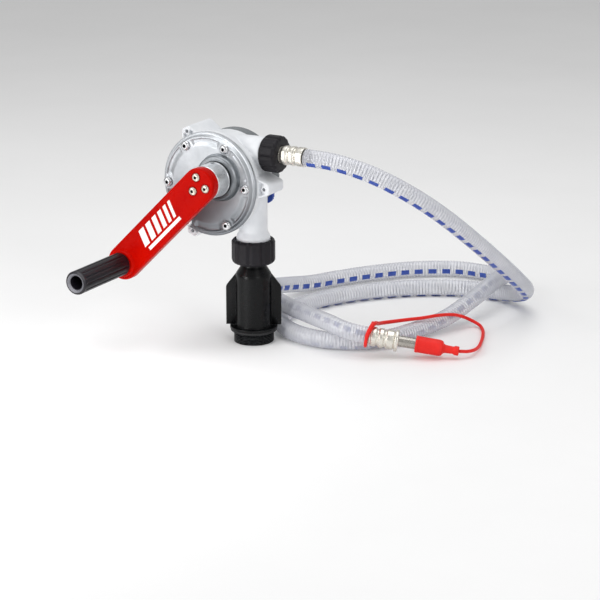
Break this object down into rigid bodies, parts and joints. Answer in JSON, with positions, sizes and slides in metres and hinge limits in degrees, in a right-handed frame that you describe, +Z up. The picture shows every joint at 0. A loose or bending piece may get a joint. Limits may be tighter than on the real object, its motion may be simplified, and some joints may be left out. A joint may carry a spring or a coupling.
{
  "type": "rotary hand pump",
  "caption": "Hand-cranked rotary vane pump for a steel drum, with bung adapter, telescopic suction tube and a clear delivery hose with a capped spout.",
  "frame": {"origin": "on the axis of the bung adapter, level with the drum head that it screws into", "axes": "+Z up along the suction tube, -Y towards the crank side, +X towards the outlet"},
  "size_m": [0.5054, 0.6986, 0.7484],
  "materials": {
    "grey_paint": "light grey satin paint with a fine texture",
    "cover_aluminium": "satin machined aluminium",
    "rear_grey": "dark grey cast metal",
    "steel": "bright stainless steel",
    "zinc": "bright zinc plate, slightly warm",
    "bronze": "sintered bronze",
    "carbon": "dark carbon-filled plastic",
    "red_paint": "glossy red paint",
    "red_rubber": "soft red rubber",
    "black_plastic": "black moulded plastic with a light grain",
    "gloss_black": "smooth black plastic",
    "black_rubber": "black rubber",
    "clear_pvc": "clear hose with a steel helix and a blue stripe",
    "blue_plastic": "blue moulded plastic"
  },
  "bodies": {
    "pump": {"pump_casing": "grey_paint", "front_cover": "cover_aluminium", "rear_cover": "rear_grey", "front_gasket": "black_rubber", "rear_gasket": "black_rubber", "cover_screw_1": "steel", "cover_screw_2": "steel", "cover_screw_3": "steel", "cover_screw_4": "steel", "cover_screw_5": "steel", "cover_screw_6": "steel", "rear_screw_1": "steel", "rear_screw_2": "steel", "rear_screw_3": "steel", "rear_screw_4": "steel", "front_bush": "bronze", "rear_bush": "bronze", "shaft_seal": "black_rubber", "rear_plug": "blue_plastic", "inlet_flat_seal": "black_rubber", "bung_adapter": "gloss_black", "bung_gasket": "black_rubber", "suction_tube_upper": "steel", "tube_seal_ring": "black_rubber", "outlet_flat_seal": "black_rubber", "hose_tail": "zinc", "outlet_ferrule": "zinc", "delivery_hose": "clear_pvc", "end_ferrule": "zinc", "spout_tube": "steel", "strap_ring": "red_rubber", "cap_strap": "red_rubber"},
    "crank": {"crank_arm": "red_paint", "crank_hub": "cover_aluminium", "hub_grub_screw": "steel", "crank_screw_1": "steel", "crank_screw_2": "steel", "crank_screw_3": "steel", "grip_spindle": "steel", "pump_shaft": "steel", "rotor_key": "steel", "rotor": "carbon"},
    "grip": {"crank_grip": "black_plastic"},
    "vane_1_body": {"vane_1": "carbon"},
    "vane_2_body": {"vane_2": "carbon"},
    "vane_3_body": {"vane_3": "carbon"},
    "vane_4_body": {"vane_4": "carbon"},
    "inlet_nut": {"inlet_union_nut": "black_plastic"},
    "outlet_nut": {"outlet_union_nut": "black_plastic"},
    "lock_collar": {"tube_lock_collar": "black_plastic"},
    "lower_tube": {"suction_tube_lower": "steel", "foot_valve_body": "black_plastic", "foot_strainer": "black_plastic"},
    "valve_disc": {"foot_valve_disc": "black_rubber"},
    "cap": {"spout_cap": "red_rubber"}
  },
  "joints": [
    {"name": "crank_turn", "type": "hinge", "parent": "pump", "child": "crank", "pos_m": [-0.028, 0, 0.2555], "axis": [0, -1, 0], "continuous": true},
    {"name": "grip_spin", "type": "hinge", "parent": "crank", "child": "grip", "pos_m": [-0.16023, 0, 0.12327], "axis": [0, -1, 0], "continuous": true},
    {"name": "vane_slide_1", "type": "slide", "parent": "crank", "child": "vane_1_body", "axis": [-0.4226, 0, -0.9063], "range_m": [0, 0.0022]},
    {"name": "vane_slide_2", "type": "slide", "parent": "crank", "child": "vane_2_body", "axis": [0.9063, 0, -0.4226], "range_m": [0, 0.0022]},
    {"name": "vane_slide_3", "type": "slide", "parent": "crank", "child": "vane_3_body", "axis": [0.4226, 0, 0.9063], "range_m": [0, 0.0022]},
    {"name": "vane_slide_4", "type": "slide", "parent": "crank", "child": "vane_4_body", "axis": [-0.9063, 0, 0.4226], "range_m": [0, 0.0022]},
    {"name": "inlet_nut_turn", "type": "hinge", "parent": "pump", "child": "inlet_nut", "pos_m": [0, 0, 0.139], "axis": [0, 0, 1], "continuous": true},
    {"name": "outlet_nut_turn", "type": "hinge", "parent": "pump", "child": "outlet_nut", "pos_m": [0.035, 0, 0.288], "axis": [1, 0, 0], "continuous": true},
    {"name": "lock_collar_turn", "type": "hinge", "parent": "pump", "child": "lock_collar", "pos_m": [0, 0, -0.36], "axis": [0, 0, 1], "continuous": true},
    {"name": "suction_tube_slide", "type": "slide", "parent": "pump", "child": "lower_tube", "axis": [0, 0, -1], "range_m": [0, 0.32]},
    {"name": "foot_valve_lift", "type": "slide", "parent": "lower_tube", "child": "valve_disc", "axis": [0, 0, 1], "range_m": [0, 0.004]},
    {"name": "cap_pull", "type": "slide", "parent": "pump", "child": "cap", "axis": [0.9108, 0.3866, -0.145], "range_m": [0, 0.036], "deforming": ["cap_strap"]}
  ]
}
